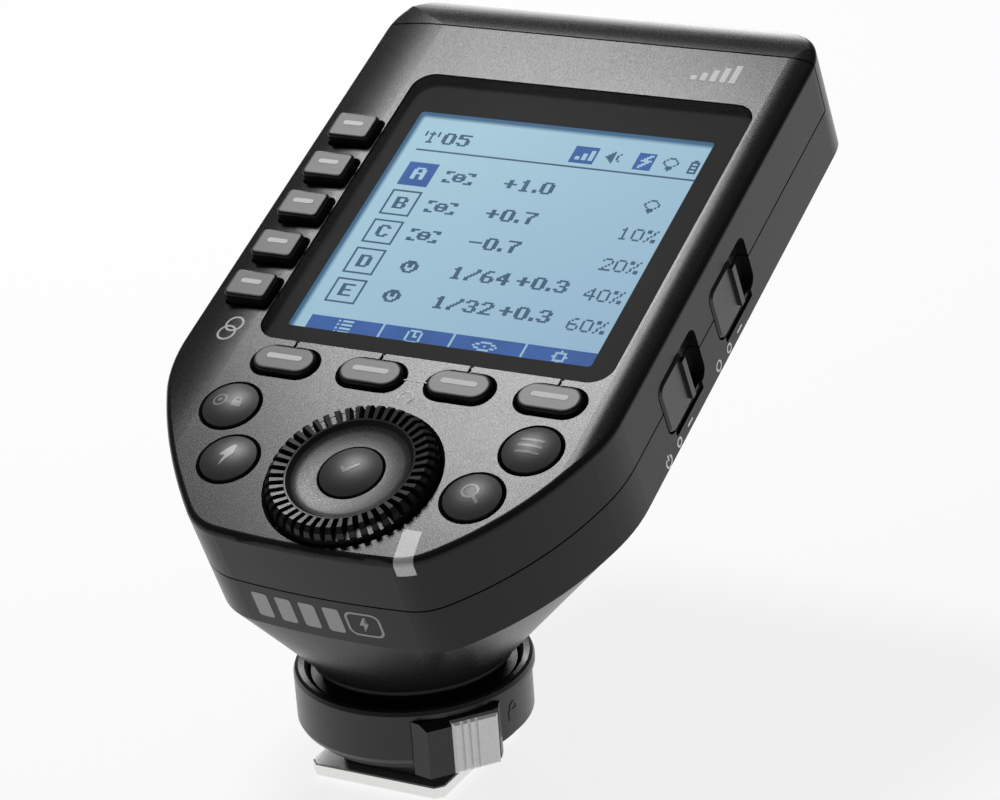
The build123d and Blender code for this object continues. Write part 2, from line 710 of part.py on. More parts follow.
def battery_contacts():
    """Spring steel plates at both ends of the bay."""
    plates = []
    for x in (-CELL_X, CELL_X):
        for y0, y1 in ((BAY_LOW_Y + 0.02, BAY_LOW_Y + 0.45), (BAY_HIGH_Y - 0.45, BAY_HIGH_Y - 0.02)):
            plates.append(block(x - 5.5, x + 5.5, y0, y1, CELL_Z - 5.5, CELL_Z + 5.5))
    return plates


def case_screws():
    """Four screws up from the back into the front shell's posts."""
    screws = []
    for x, y in SCREW_XY:
        head = prism(Circle(1.9), SCREW_HEAD_Z - 1.3, SCREW_HEAD_Z)
        head -= prism(Rectangle(2.4, 0.5) + Rectangle(0.5, 2.4), SCREW_HEAD_Z - 2, SCREW_HEAD_Z - 0.7)
        screws.append(Pos(x, y) * (head + prism(Circle(0.76), SCREW_HEAD_Z, -3.6)))
    return screws


# ---------------- foot, collar and lock, in the row frame ----------------
def pin_holes(low, high):
    """The holes that the contacts, the lock pin and the foot screws pass through."""
    holes = [prism(Circle(1.1 + PIN_GAP), low, high)]
    for x, y in TTL_CONTACTS:
        holes.append(Pos(x, y) * prism(Circle(0.55 + PIN_GAP), low, high))
    holes.append(Pos(0, PIN_Y) * prism(Circle(PIN_R + PIN_GAP), low, high))
    for x, y in FOOT_SCREW_XY:
        holes.append(Pos(x, y) * prism(Circle(0.75), low, high))
    return holes


def shoe_foot():
    """The metal foot plate, to the hot-shoe standard's width."""
    plate = block(-FOOT_WIDTH / 2, FOOT_WIDTH / 2, FOOT_FRONT_Y, FOOT_FRONT_Y + FOOT_LENGTH, 0, FOOT_T)
    plate = chamfer(plate.edges().filter_by(Axis.Z), 1.0)
    plate = chamfer(plate.faces().sort_by(Axis.Z)[0].edges(), 0.35)
    plate = chamfer(plate.faces().sort_by(Axis.Z)[-1].edges(), 0.15)
    plate -= block(-5.4, 5.4, -5.1, 4.4, -1, 1.0)
    for hole in pin_holes(-1, 5):
        plate -= hole
    for x, y in FOOT_SCREW_XY:
        plate -= Pos(x, y) * prism(Circle(1.35), -1, 0.9)
    return plate


def foot_stem():
    """The moulded block between the foot plate and the collar, clear of the shoe's rails."""
    stem = block(-STEM_WIDTH / 2, STEM_WIDTH / 2, -9.8, 7.8, FOOT_T + 0.02, STEM_TOP_Z)
    stem = chamfer(stem.edges().filter_by(Axis.Z), 1.2)
    for hole in pin_holes(0, 6):
        stem -= hole
    return stem


def contact_insert():
    """The insulating block that holds the contacts in the foot's underside."""
    insert = block(-5.37, 5.37, -5.07, 4.37, 0.02, 0.98)
    insert -= prism(Circle(1.1 + PIN_GAP), -1, 2)
    for x, y in TTL_CONTACTS:
        insert -= Pos(x, y) * prism(Circle(0.55 + PIN_GAP), -1, 2)
    return insert


def foot_screws():
    screws = []
    for x, y in FOOT_SCREW_XY:
        head = prism(Circle(1.3), 0.1, 0.88) - prism(Rectangle(1.7, 0.35) + Rectangle(0.35, 1.7), 0, 0.45)
        screws.append(Pos(x, y) * (head + prism(Circle(0.72), 0.8, 9.5)))
    return screws


def contact_pin(radius, tip):
    """A sprung contact: its rounded tip stands below the foot."""
    pin = prism(Circle(radius), CONTACT_REST_Z, 4.2)
    return fillet(pin.faces().sort_by(Axis.Z)[0].edges(), tip)


def lock_pin():
    """The pin that drops into the camera's shoe when the lever is turned."""
    pin = prism(Circle(PIN_R), 0.15, 8.6)
    return Pos(0, PIN_Y) * chamfer(pin.faces().sort_by(Axis.Z)[0].edges(), 0.25)


def shoe_base():
    """The hub that joins the neck, the collar and the metal foot."""
    hub = prism(Circle(HUB_R), STEM_TOP_Z + 0.02, DECK_Z + 0.2)
    deck = prism(Circle(DECK_R), DECK_Z, NECK_LOW_Z - 0.02)
    base = hub + deck + prism(Circle(9.3), DECK_Z, NECK_LOW_Z + 1.5)
    base -= Pos(0, PIN_Y) * prism(Circle(PIN_R + PIN_GAP), 0, 9.2)
    base -= block(-CONTACT_ROOM_HALF, CONTACT_ROOM_HALF, -CONTACT_ROOM_HALF, 3.2, 0, CONTACT_ROOM_TOP_Z)
    for x, y in FOOT_SCREW_XY:
        base -= Pos(x, y) * prism(Circle(0.74), 0, 9.8)
    return base


def azimuth(angle):
    """Turn something drawn facing the photographer to an angle towards the right."""
    return Rot(0, 0, angle)


def lock_collar():
    """The fixed ring around the lock, with a shallow recess that the lever swings over."""
    top = COLLAR_HIGH_Z
    profile = Polyline(
        (HUB_R + 0.1, COLLAR_LOW_Z), (COLLAR_R - 1.0, COLLAR_LOW_Z), (COLLAR_R - 0.3, COLLAR_LOW_Z + 0.2),
        (COLLAR_R, COLLAR_LOW_Z + 0.8), (COLLAR_R, top - 0.7), (COLLAR_R - 0.2, top - 0.2),
        (COLLAR_R - 0.6, top), (13.6, top - 0.2), (COLLAR_WELL_R, NECK_LOW_Z),
        (COLLAR_WELL_R, COLLAR_LOW_Z + 1.0), (HUB_R + 0.1, COLLAR_LOW_Z + 1.0), close=True,
    )
    collar = revolve(Plane.XZ * make_face(profile), Axis.Z)
    track = tube(COLLAR_R + 1, TRACK_R, COLLAR_LOW_Z - 1, TRACK_TOP_Z)
    return collar - (track & wedge(LEVER_AZ - TRACK_MARGIN, TRACK_END_AZ))


def wedge(first, last):
    """A pie slice about the collar's axis, between two angles from the front."""
    points = [(0, 0)]
    steps = 6
    for step in range(steps + 1):
        angle = radians(first + (last - first) * step / steps)
        points.append((40 * sin(angle), -40 * cos(angle)))
    return prism(make_face(Polyline(*points, close=True)), -5, 30)


def lever_outline(half, base_half):
    """The lever from above: a front face between two slanting sides."""
    return make_face(Polyline(
        (-base_half, LEVER_BASE_Y), (-half, -LEVER_FACE), (half, -LEVER_FACE), (base_half, LEVER_BASE_Y),
        close=True,
    ))


def lock_lever():
    """The lever's black body, and the ring under the collar that it turns with."""
    low, high = LEVER_RING_Z
    ring = tube(LEVER_RING_R, HUB_R + 0.15, low, high)
    web = block(-3.6, 3.6, -14.9, -LEVER_RING_R + 0.6, low, high)
    half = LEVER_WIDTH / 2
    top = TRACK_TOP_Z - 0.08
    body = prism(lever_outline(half, LEVER_BASE_HALF), LEVER_LOW_Z, top)
    body -= tube(TRACK_R + 0.1, 0.1, 0, 20)
    bevel_low = top - LEVER_BEVEL[1]
    bevel_back = -LEVER_FACE + LEVER_BEVEL[0]
    bevel = [(-LEVER_FACE, bevel_low), (bevel_back, top), (-20, top + 4), (-20, bevel_low)]
    body -= along(bevel, -9, 9)
    body -= block(half - PAD_WIDTH - 0.03, 9, -20, -PAD_SEAT, 0, PAD_TOP_Z + 0.1)
    return azimuth(LEVER_AZ) * (ring + web + body)


def lock_lever_pad():
    """The light grey thumb pad, ribbed on its left half."""
    half = LEVER_WIDTH / 2
    front = -LEVER_FACE - PAD_RISE
    pad = block(half - PAD_WIDTH, half, front, -PAD_SEAT - 0.03, LEVER_LOW_Z, PAD_TOP_Z)
    pad = chamfer(pad.faces().sort_by(Axis.Y)[0].edges(), 0.3)
    for step in range(3):
        x = half - PAD_WIDTH + 1.0 + 0.95 * step
        pad -= block(x, x + 0.35, front - 1, front + 0.3, 0, 20)
    return azimuth(LEVER_AZ) * pad


def af_assist_window():
    return neck_window_solid(0) & (PANEL * (neck() + back_slab())) - block(-20, 20, -20, 9.8, 0, 40)


def af_assist_lamp():
    """The red emitter behind its window."""
    return Pos(0, 9.0, NECK_WINDOW_Z) * Rot(-90, 0, 0) * extrude(Circle(2.4), -4)


# ---------------- write every sub-part ----------------
def write(name, solid):
    export_step(Compound(children=solid) if isinstance(solid, list) else solid, f"parts/{name}.step")


def in_row(solid):
    if isinstance(solid, list):
        return [PANEL * piece for piece in solid]
    return PANEL * solid


os.makedirs("parts", exist_ok=True)
panel_parts = {
    "front_shell": front_shell(),
    "rear_shell": rear_shell(),
    "screen_window": screen_window(),
    "lcd_panel": lcd_panel(),
    "backlight_unit": backlight_unit(),
    "lcd_bezel": lcd_bezel(),
    "group_keypad": group_keypad(),
    "main_keypad": main_keypad(),
    "dial_ring": dial_ring(),
    "dial_face": dial_face(),
    "set_button": set_button(),
    "rotary_encoder": rotary_encoder(),
    "main_board": main_board(),
    "radio_module": radio_module(),
    "antenna": antenna(),
    "beeper": beeper(),
    "status_lamp": status_lamp(),
    "usb_port": usb_port(),
    "sync_jack": sync_jack(),
    "battery_door": battery_door(),
    "battery_cell_left": battery_cell(-1),
    "battery_cell_right": battery_cell(1),
    "battery_contacts": battery_contacts(),
    "battery_springs": battery_springs(),
    "case_screws": case_screws(),
}
inner_room = prism(plan_face(WALL + 0.2), -10, 10)
for letter, (x, y) in zip("abcde", group_spots()):
    panel_parts[f"group_button_{letter}"] = Pos(x, y) * group_button()
for number, (x, y) in enumerate(function_spots(), start=1):
    panel_parts[f"function_button_{number}"] = Pos(x, y) * function_button()
for name, (x, y) in ROUND_KEYS.items():
    panel_parts[name] = Pos(x, y) * round_button() & inner_room
for name, y0 in SWITCH_Y.items():
    panel_parts[f"{name}_switch"] = slide_switch(y0)
    panel_parts[f"{name}_switch_knob"] = switch_knob(y0)
for name, solid in panel_parts.items():
    write(name, in_row(solid))

row_parts = {
    "shoe_foot": shoe_foot(),
    "foot_stem": foot_stem(),
    "contact_insert": contact_insert(),
    "foot_screws": foot_screws(),
    "centre_contact": contact_pin(1.1, 0.4),
    "lock_pin": lock_pin(),
    "shoe_base": shoe_base(),
    "lock_collar": lock_collar(),
    "lock_lever": lock_lever(),
    "lock_lever_pad": lock_lever_pad(),
    "af_assist_window": af_assist_window(),
    "af_assist_lamp": af_assist_lamp(),
}
for number, (x, y) in enumerate(TTL_CONTACTS, start=1):
    row_parts[f"ttl_contact_{number}"] = Pos(x, y) * contact_pin(0.55, 0.25)
for name, solid in row_parts.items():
    write(name, solid)
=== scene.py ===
"""Looks for the wireless flash trigger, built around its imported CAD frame."""
import json
import math

import bmesh
import bpy
import numpy as np
from mathutils import Matrix, Vector
from mathutils.bvhtree import BVHTree


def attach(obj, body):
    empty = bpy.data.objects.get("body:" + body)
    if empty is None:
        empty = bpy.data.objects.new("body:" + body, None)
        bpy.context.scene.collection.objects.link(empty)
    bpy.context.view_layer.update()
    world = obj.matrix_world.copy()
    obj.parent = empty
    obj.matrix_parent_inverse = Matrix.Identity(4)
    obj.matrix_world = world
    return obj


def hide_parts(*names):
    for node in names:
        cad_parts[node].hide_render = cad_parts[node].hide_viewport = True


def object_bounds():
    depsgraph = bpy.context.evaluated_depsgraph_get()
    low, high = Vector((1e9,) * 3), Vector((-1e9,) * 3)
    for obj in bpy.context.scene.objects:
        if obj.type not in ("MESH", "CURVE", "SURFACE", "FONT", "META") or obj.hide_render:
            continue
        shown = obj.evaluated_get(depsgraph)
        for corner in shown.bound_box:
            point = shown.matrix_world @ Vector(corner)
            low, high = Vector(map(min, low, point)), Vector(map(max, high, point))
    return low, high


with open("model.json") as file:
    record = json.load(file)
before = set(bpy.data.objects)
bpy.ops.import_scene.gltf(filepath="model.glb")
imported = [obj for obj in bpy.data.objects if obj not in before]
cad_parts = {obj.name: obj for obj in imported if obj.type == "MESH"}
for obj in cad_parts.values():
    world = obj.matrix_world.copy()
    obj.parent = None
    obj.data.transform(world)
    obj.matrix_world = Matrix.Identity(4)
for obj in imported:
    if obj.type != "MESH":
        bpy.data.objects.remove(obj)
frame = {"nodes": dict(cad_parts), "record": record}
cad_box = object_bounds()
nodes = frame["nodes"]

MM = 0.001
# The panel frame: x right, y up the screen, z out of the front face, y = 0 at the dial's centre.
PANEL_TILT = math.radians(23)
PANEL_SHIFT = Vector((0, 3.63, 45.89))
PANEL = Matrix.Rotation(PANEL_TILT, 4, "X") @ Matrix.Translation(PANEL_SHIFT * MM)
TO_PANEL = PANEL.inverted()
MARK_SCALE = Matrix.Scale(MM, 4)

CAMERA_LENS = 130.6
CAMERA_PLACE = (0.20869, -0.34092, 0.21747)
CAMERA_AZIMUTH, CAMERA_ELEVATION, CAMERA_ROLL = (math.radians(a) for a in (29.617, 23.226, -4.217))
FLOOR_REACH = 4.0
FLOOR_COLOUR, FLOOR_GLOW = 0.15, 0.83
ROOM_GLOW = 0.10
LIGHT_TARGET = (0, 0.02, 0.06)
# Each lamp's place, the diameter of its disc, and its power in watts.
LIGHTS = {
    "key_softbox": ((-0.232, 0.180, 0.53), 0.165, 2.05),
    "back_softbox": ((-0.72, 1.22, 0.34), 0.72, 6.0),
}


def panel_box(node):
    """Lowest and highest corners of a CAD node in the panel frame, in millimetres."""
    points = np.array([TO_PANEL @ v.co for v in nodes[node].data.vertices]) / MM
    return Vector(points.min(0)), Vector(points.max(0))


# ---------------------------------------------------------------- stage, camera and lights
def make_camera():
    data = bpy.data.cameras.new("camera")
    data.lens = CAMERA_LENS
    data.sensor_width = 36
    data.clip_start = 0.01
    data.clip_end = 20
    camera = bpy.data.objects.new("camera", data)
    bpy.context.scene.collection.objects.link(camera)
    turn = Matrix.Rotation(CAMERA_AZIMUTH, 4, "Z")
    turn = turn @ Matrix.Rotation(math.pi / 2 - CAMERA_ELEVATION, 4, "X")
    turn = turn @ Matrix.Rotation(CAMERA_ROLL, 4, "Z")
    camera.matrix_world = Matrix.Translation(CAMERA_PLACE) @ turn
    bpy.context.scene.camera = camera


def soft_light(name, place, size, power):
    """A disc lamp aimed at the object, which the camera doesn't see."""
    data = bpy.data.lights.new(name, "AREA")
    data.shape = "DISK"
    data.size = size
    data.energy = power
    light = bpy.data.objects.new(name, data)
    bpy.context.scene.collection.objects.link(light)
    light.location = place
    light.visible_camera = False
    aim = Vector(LIGHT_TARGET) - light.location
    light.rotation_euler = aim.to_track_quat("-Z", "Y").to_euler()


def make_stage():
    mesh = bpy.data.meshes.new("floor")
    corners = [(x * FLOOR_REACH, y * FLOOR_REACH, cad_box[0].z)
               for x, y in ((-1, -1), (1, -1), (1, 1), (-1, 1))]
    mesh.from_pydata(corners, [], [(0, 1, 2, 3)])
    floor = bpy.data.objects.new("floor", mesh)
    bpy.context.scene.collection.objects.link(floor)
    paint = bpy.data.materials.new("floor_paper")
    paint.use_nodes = True
    shader = paint.node_tree.nodes["Principled BSDF"]
    shader.inputs["Base Color"].default_value = (FLOOR_COLOUR,) * 3 + (1,)
    shader.inputs["Roughness"].default_value = 0.9
    shader.inputs["Emission Color"].default_value = (1, 1, 1, 1)
    shader.inputs["Emission Strength"].default_value = FLOOR_GLOW
    mesh.materials.append(paint)
    world = bpy.data.worlds.new("studio")
    world.use_nodes = True
    background = world.node_tree.nodes["Background"]
    background.inputs["Color"].default_value = (1, 1, 1, 1)
    background.inputs["Strength"].default_value = ROOM_GLOW
    bpy.context.scene.world = world
    for name, (place, size, power) in LIGHTS.items():
        soft_light(name, place, size, power)
    bpy.context.scene.view_settings.view_transform = "Standard"


make_camera()
make_stage()


# ---------------------------------------------------------------- materials
class Paint:
    """A node material, with short ways to add and join nodes."""

    def __init__(self, name, colour=(0.8, 0.8, 0.8), rough=0.5, **inputs):
        self.material = bpy.data.materials.new(name)
        self.material.use_nodes = True
        self.tree = self.material.node_tree
        self.shader = self.tree.nodes["Principled BSDF"]
        self.shader.inputs["Base Color"].default_value = (*colour, 1)
        self.shader.inputs["Roughness"].default_value = rough
        for key, value in inputs.items():
            self.shader.inputs[key.replace("_", " ")].default_value = value

    def add(self, kind, settings=None, **inputs):
        """A node with its inputs joined or set, each given by its name or as _0, _1 and so on."""
        made = self.tree.nodes.new("ShaderNode" + kind)
        for key, value in (settings or {}).items():
            setattr(made, key, value)
        for key, value in inputs.items():
            numbered = key[1:].isdigit()
            socket = made.inputs[int(key[1:]) if numbered else key.replace("_", " ")]
            if isinstance(value, bpy.types.NodeSocket):
                self.tree.links.new(value, socket)
            else:
                socket.default_value = value
        return made

    def place(self):
        return self.add("TexCoord").outputs["Object"]

    def noise(self, size, detail=2.0, rough=0.5):
        """Noise whose features are about size millimetres across."""
        scale = 1 / (size * MM)
        made = self.add("TexNoise", Vector=self.place(), Scale=scale, Detail=detail, Roughness=rough)
        return made.outputs["Fac"]

    def ramp(self, value, low, high, out_low=0.0, out_high=1.0):
        made = self.add("MapRange", Value=value, From_Min=low, From_Max=high,
                        To_Min=out_low, To_Max=out_high)
        return made.outputs[0]

    def speckled(self, share, colour, spread):
        """A colour that varies by plus or minus its share spread, as share runs over noise's middle."""
        dark = tuple(c * (1 - spread) for c in colour)
        light = tuple(min(1, c * (1 + spread)) for c in colour)
        return self.mix(self.ramp(share, 0.3, 0.7), dark, light)

    def mix(self, share, first, second):
        made = self.add("Mix", {"data_type": "RGBA"}, _0=share)
        for socket, value in ((made.inputs[6], first), (made.inputs[7], second)):
            if isinstance(value, bpy.types.NodeSocket):
                self.tree.links.new(value, socket)
            else:
                socket.default_value = (*value, 1)
        return made.outputs[2]

    def feed(self, name, value):
        self.tree.links.new(value, self.shader.inputs[name])

    def bump(self, height, depth):
        """Depth is in millimetres."""
        made = self.add("Bump", Height=height, Distance=depth * MM, Strength=1.0)
        self.feed("Normal", made.outputs["Normal"])


def moulded(name, colour, rough, grain=0.12, depth=0.004, speckle=0.25, **inputs):
    """Spark-textured plastic: fine pits, and faint changes of colour and gloss."""
    paint = Paint(name, colour, rough, **inputs)
    fine = paint.noise(grain, 3.0, 0.6)
    broad = paint.noise(9.0, 3.0)
    paint.feed("Base Color", paint.speckled(fine, colour, speckle))
    wear = paint.ramp(broad, 0.3, 0.7, -0.008, 0.008)
    pits = paint.ramp(fine, 0.35, 0.65, rough - 0.06, rough + 0.07)
    paint.feed("Roughness", paint.add("Math", {"operation": "ADD"}, _0=wear, _1=pits).outputs[0])
    paint.bump(fine, depth)
    return paint


def machined(name, colour, rough):
    """Metal with a fine directional grain."""
    paint = Paint(name, colour, rough, Metallic=1.0)
    stretched = paint.add("Mapping", Vector=paint.place(), Scale=(0.15, 1.0, 1.0)).outputs[0]
    grain = paint.add("TexNoise", Vector=stretched, Scale=9000.0, Detail=2.0).outputs["Fac"]
    paint.feed("Roughness", paint.ramp(grain, 0.3, 0.7, rough - 0.05, rough + 0.06))
    paint.bump(grain, 0.004)
    return paint


def capped_key(name, top, side):
    """A key with a grey painted top and glossy black sides."""
    paint = Paint(name, side, 0.2, Specular_IOR_Level=0.2)
    fine = paint.noise(0.16, 3.0, 0.6)
    outward = PANEL.to_3x3() @ Vector((0, 0, 1))
    normal = paint.add("TexCoord").outputs["Normal"]
    facing = paint.add("VectorMath", {"operation": "DOT_PRODUCT"}, _0=normal, _1=outward)
    cover = paint.ramp(facing.outputs["Value"], 0.86, 0.93)
    paint.feed("Base Color", paint.mix(cover, side, paint.speckled(fine, top, 0.15)))
    paint.feed("Roughness", paint.ramp(cover, 0, 1, 0.2, 0.36))
    paint.bump(fine, 0.003)
    return paint


def glowing(name, colour, strength):
    """A dark dot of the screen, lit a little from behind."""
    paint = Paint(name, colour, 0.5, Specular_IOR_Level=0.0)
    shade = paint.speckled(paint.noise(6.0), colour, 0.1)
    paint.feed("Base Color", shade)
    paint.feed("Emission Color", shade)
    paint.shader.inputs["Emission Strength"].default_value = strength
    return paint


def lit_screen(name):
    """The screen's pale blue backlight: brightest at the upper left, and dark at two of its edges."""
    paint = Paint(name, (0.02, 0.03, 0.04), 0.5, Specular_IOR_Level=0.0)
    place = paint.add("Mapping", Vector=paint.place(), Scale=(1 / MM,) * 3,
                      Rotation=(-PANEL_TILT, 0, 0), Location=-PANEL_SHIFT)
    parts = paint.add("SeparateXYZ", Vector=place.outputs[0])
    x, y = parts.outputs[0], parts.outputs[1]
    slant = paint.add("Math", {"operation": "SUBTRACT"}, _0=y, _1=x).outputs[0]
    glow = paint.mix(paint.ramp(slant, 0, 75), (0.29, 0.46, 0.62), (0.385, 0.605, 0.715))
    left = paint.ramp(x, -18.35, -17.75)
    top = paint.ramp(y, 62.9, 62.2)
    edge = paint.add("Math", {"operation": "MULTIPLY"}, _0=left, _1=top).outputs[0]
    glow = paint.mix(edge, (0.04, 0.13, 0.25), glow)
    glow = paint.mix(paint.ramp(x, 23.05, 23.15), glow, (0.62, 0.75, 0.80))
    paint.feed("Emission Color", glow)
    paint.shader.inputs["Emission Strength"].default_value = 0.93
    return paint


def clear_window(name):
    """A clear window that still reflects a little of the room."""
    paint = Paint(name)
    clear = paint.add("BsdfTransparent", Color=(0.98, 0.98, 0.98, 1))
    smear = paint.ramp(paint.noise(14.0), 0.3, 0.7, 0.12, 0.2)
    gloss = paint.add("BsdfGlossy", Roughness=smear)
    share = paint.ramp(paint.add("LayerWeight", Blend=0.15).outputs["Fresnel"], 0, 1, 0.0004, 0.02)
    both = paint.add("MixShader", _0=share, _1=clear.outputs[0], _2=gloss.outputs[0])
    output = paint.tree.nodes["Material Output"]
    paint.tree.links.new(both.outputs[0], output.inputs["Surface"])
    return paint


MATERIALS = {
    "case_plastic": moulded("case_plastic", (0.010, 0.0098, 0.0103), 0.26, Specular_IOR_Level=0.21),
    "window_glass": clear_window("window_glass"),
    "lcd_face": lit_screen("lcd_face"),
    "white_plastic": moulded("white_plastic", (0.7, 0.7, 0.7), 0.4),
    "steel": machined("steel", (0.6, 0.6, 0.6), 0.3),
    "silicone": moulded("silicone", (0.25, 0.25, 0.26), 0.5),
    "dial_black": moulded("dial_black", (0.009, 0.009, 0.010), 0.33, Specular_IOR_Level=0.3),
    "dial_grain": moulded("dial_grain", (0.022, 0.022, 0.023), 0.36, grain=0.2, depth=0.02,
                          speckle=0.8, Specular_IOR_Level=0.35),
    "key_dark": moulded("key_dark", (0.022, 0.022, 0.023), 0.46, Specular_IOR_Level=0.6),
    "key_grey": capped_key("key_grey", (0.13, 0.13, 0.13), (0.010, 0.010, 0.010)),
    "circuit_board": moulded("circuit_board", (0.01, 0.06, 0.02), 0.4),
    "brass": machined("brass", (0.7, 0.5, 0.2), 0.3),
    "black_plastic": moulded("black_plastic", (0.012, 0.012, 0.012), 0.4),
    "lamp_plastic": moulded("lamp_plastic", (0.42, 0.42, 0.42), 0.35),
    "cell_jacket": moulded("cell_jacket", (0.1, 0.12, 0.3), 0.3),
    "knob_black": moulded("knob_black", (0.010, 0.010, 0.011), 0.30),
    "foot_metal": machined("foot_metal", (0.86, 0.86, 0.85), 0.32),
    "contact_gold": machined("contact_gold", (0.8, 0.6, 0.25), 0.25),
    "collar_black": moulded("collar_black", (0.008, 0.008, 0.008), 0.30),
    "pad_grey": moulded("pad_grey", (0.95, 0.95, 0.94), 0.42, depth=0.01),
    "red_window": moulded("red_window", (0.08, 0.004, 0.006), 0.08, depth=0.001),
}
for part in frame["record"]["subparts"]:
    coat = nodes[part["node"]].data.materials
    coat.clear()
    coat.append(MATERIALS[part["material_slot"]].material)


# ---------------------------------------------------------------- flat marks, laid on the surface
def ribbon(points, width, closed=False):
    """A band along a path: its corner points, the quads between them, and its outer loops."""
    path = [Vector(p) for p in points]
    count = len(path)
    left, right = [], []
    for i, here in enumerate(path):
        before = path[i - 1] if closed or i else here
        after = path[(i + 1) % count] if closed or i < count - 1 else here
        run_in, run_out = (here - before), (after - here)
        run_in = run_in.normalized() if run_in.length else run_out.normalized()
        run_out = run_out.normalized() if run_out.length else run_in
        way = (run_in + run_out).normalized()
        stretch = 1 / max(0.5, way.dot(run_out))
        side = Vector((-way.y, way.x)) * width / 2 * stretch
        left.append(here + side)
        right.append(here - side)
    quads = []
    for i in range(count if closed else count - 1):
        j = (i + 1) % count
        quads.append((i, count + i, count + j, j))
    if closed:
        loops = [list(range(count)), [count + i for i in reversed(range(count))]]
    else:
        loops = [list(range(count)) + [count + i for i in reversed(range(count))]]
    return left + right, quads, loops


def patch(points):
    """A filled outline, counter-clockwise."""
    order = list(range(len(points)))
    return [Vector(p) for p in points], [tuple(order)], [list(reversed(order))]


def arc(x, y, radius, start=0, end=360, steps=24):
    """Points along an arc. A full circle leaves its last point out."""
    count = steps + (end - start < 360)
    angles = [math.radians(start + (end - start) * i / steps) for i in range(count)]
    return [(x + radius * math.cos(a), y + radius * math.sin(a)) for a in angles]


def ring(x, y, radius, width):
    return ribbon(arc(x, y, radius), width, closed=True)


def disc(x, y, radius):
    return patch(arc(x, y, radius))


def round_box(x, y, width, height, radius):
    """The corner points of a rounded rectangle about its centre."""
    points = []
    for sx, sy, start in ((1, 1, 0), (-1, 1, 90), (-1, -1, 180), (1, -1, 270)):
        corner_x = x + sx * (width / 2 - radius)
        corner_y = y + sy * (height / 2 - radius)
        points += arc(corner_x, corner_y, radius, start, start + 90, 6)
    return points


def bolt(x, y, size):
    shape = [(0.12, 1.0), (-0.52, -0.12), (-0.06, -0.12), (-0.20, -1.0),
             (0.50, 0.20), (0.04, 0.20), (0.34, 1.0)]
    return patch([(x + size * u, y + size * v) for u, v in shape])


def padlock(x, y, size):
    body = patch(round_box(x, y - 0.35 * size, 1.5 * size, 1.1 * size, 0.15 * size))
    top = [(x + 0.45 * size, y + 0.15 * size)] + arc(x, y + 0.4 * size, 0.45 * size, 0, 180, 10)
    return [body, ribbon(top + [(x - 0.45 * size, y + 0.15 * size)], 0.22 * size)]


# How far a mark goes into the surface and stands out of it, its longest edge in millimetres, and how
# often longer ones are split. Each of its points is dropped onto the surface from above.
MARK_SINK, MARK_RISE = 0.05, 0.035
MARK_EDGE, MARK_SPLITS = 0.45, 4
CAST_FROM, CAST_REACH = 4.0, 9.0


def lay(name, shapes, place, coat, body, onto, high=MARK_RISE):
    """Closed flat solids that follow the surface of a node. place takes millimetres to the row frame."""
    flat = bmesh.new()
    for points, caps, loops in shapes:
        bottom = [flat.verts.new((p.x, p.y, -MARK_SINK)) for p in points]
        top = [flat.verts.new((p.x, p.y, high)) for p in points]
        for cap in caps:
            flat.faces.new([top[i] for i in cap])
            flat.faces.new([bottom[i] for i in reversed(cap)])
        for loop in loops:
            for i, a in enumerate(loop):
                b = loop[(i + 1) % len(loop)]
                flat.faces.new((bottom[a], bottom[b], top[b], top[a]))
    bmesh.ops.triangulate(flat, faces=flat.faces)
    for _ in range(MARK_SPLITS):
        longer = [edge for edge in flat.edges if edge.calc_length() > MARK_EDGE]
        if longer:
            bmesh.ops.subdivide_edges(flat, edges=longer, cuts=1)
            bmesh.ops.triangulate(flat, faces=flat.faces)
    under = nodes[onto].data
    tree = BVHTree.FromPolygons([v.co for v in under.vertices], [p.vertices for p in under.polygons])
    normal = (place.to_3x3() @ Vector((0, 0, 1))).normalized()
    for vert in flat.verts:
        x, y, height = vert.co
        start = place @ Vector((x, y, CAST_FROM))
        base = tree.ray_cast(start, -normal, CAST_REACH * MM)[0] or place @ Vector((x, y, 0))
        vert.co = base + normal * height * MM
    mesh = bpy.data.meshes.new(name)
    flat.to_mesh(mesh)
    flat.free()
    ready(name, mesh, coat, body)


def ready(name, mesh, coat, body):
    """Puts a mesh in the scene with outward normals, its material and the body that carries it."""
    tidy = bmesh.new()
    tidy.from_mesh(mesh)
    bmesh.ops.recalc_face_normals(tidy, faces=tidy.faces)
    tidy.to_mesh(mesh)
    tidy.free()
    mesh.materials.append(coat.material)
    made = bpy.data.objects.new(name, mesh)
    bpy.context.scene.collection.objects.link(made)
    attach(made, body)
    return made


def piece(name, verts, faces, coat, body):
    """A closed mesh in the row frame that rides on a body."""
    mesh = bpy.data.meshes.new(name)
    mesh.from_pydata(verts, [], faces)
    return ready(name, mesh, coat, body)


def on_panel(x, y, turn=0):
    """Takes millimetres to the row frame, from a point of the front face and turned there."""
    place = PANEL @ Matrix.Translation((x * MM, y * MM, 0))
    return place @ Matrix.Rotation(math.radians(turn), 4, "Z") @ MARK_SCALE


def middle_of(node):
    low, high = panel_box(node)
    return (low.x + high.x) / 2, (low.y + high.y) / 2


def mark_key(name, key, shapes, coat):
    """Prints shapes about the middle of a key's top, on the key."""
    lay(name, shapes, on_panel(*middle_of(key)), coat, key, key)


PRINT = moulded("print_grey", (0.52, 0.52, 0.52), 0.45, speckle=0.12, depth=0.003)
KEY_BAR = moulded("key_bar", (0.62, 0.62, 0.61), 0.5, speckle=0.08, depth=0.003)
PRINT_DIM = moulded("print_dim", (0.24, 0.24, 0.24), 0.4, speckle=0.12, depth=0.003)
PRINT_WHITE = moulded("print_white", (0.85, 0.85, 0.85), 0.45, speckle=0.15, depth=0.003)

